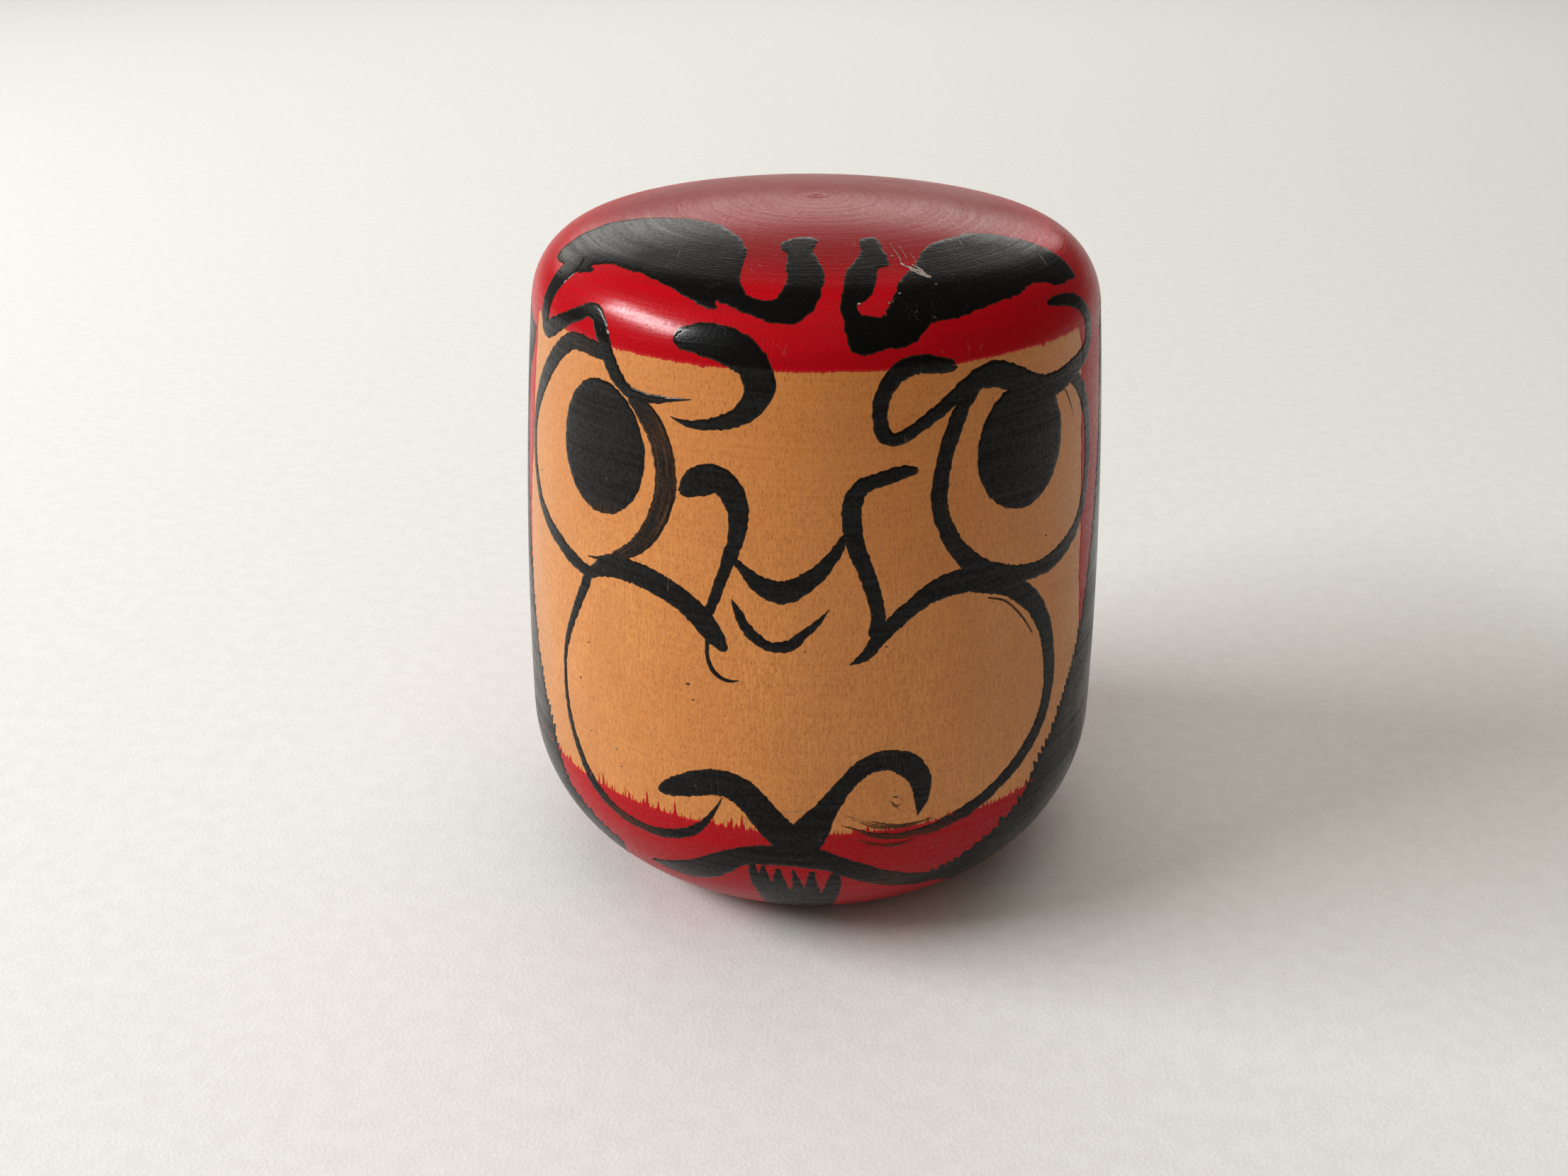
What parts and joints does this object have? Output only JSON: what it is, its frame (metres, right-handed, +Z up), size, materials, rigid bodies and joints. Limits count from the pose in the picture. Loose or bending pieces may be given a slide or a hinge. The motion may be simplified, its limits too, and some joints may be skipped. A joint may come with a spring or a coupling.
{
  "type": "daruma doll",
  "caption": "Squat round-shouldered turned wooden daruma doll with a bare face panel, a lacquered hood and robe, and brushed ink features, hair, moustache and beard.",
  "frame": {"origin": "centre of the flat foot, on the surface the doll stands on", "axes": "+Z up along the turning axis, the painted face looks along -Y, +X is on the viewer's right"},
  "size_m": [0.0804, 0.0803, 0.0921],
  "materials": {
    "turned_wood": "fine-grained, clear satin finish",
    "red_lacquer": "brushed satin-gloss red lacquer on wood",
    "black_ink": "brushed black ink under a thin satin wax"
  },
  "bodies": {
    "root": {"block": "turned_wood", "hood": "red_lacquer", "robe": "red_lacquer", "hair_left": "black_ink", "hair_right": "black_ink", "brow_left": "black_ink", "brow_right": "black_ink", "eye_line_left": "black_ink", "eye_line_right": "black_ink", "pupil_left": "black_ink", "pupil_right": "black_ink", "crease_left": "black_ink", "nostril_left": "black_ink", "nostril_right": "black_ink", "nose_tip": "black_ink", "lip_line": "black_ink", "cheek_left": "black_ink", "cheek_right": "black_ink", "mouth": "black_ink", "beard": "black_ink"}
  },
  "joints": []
}
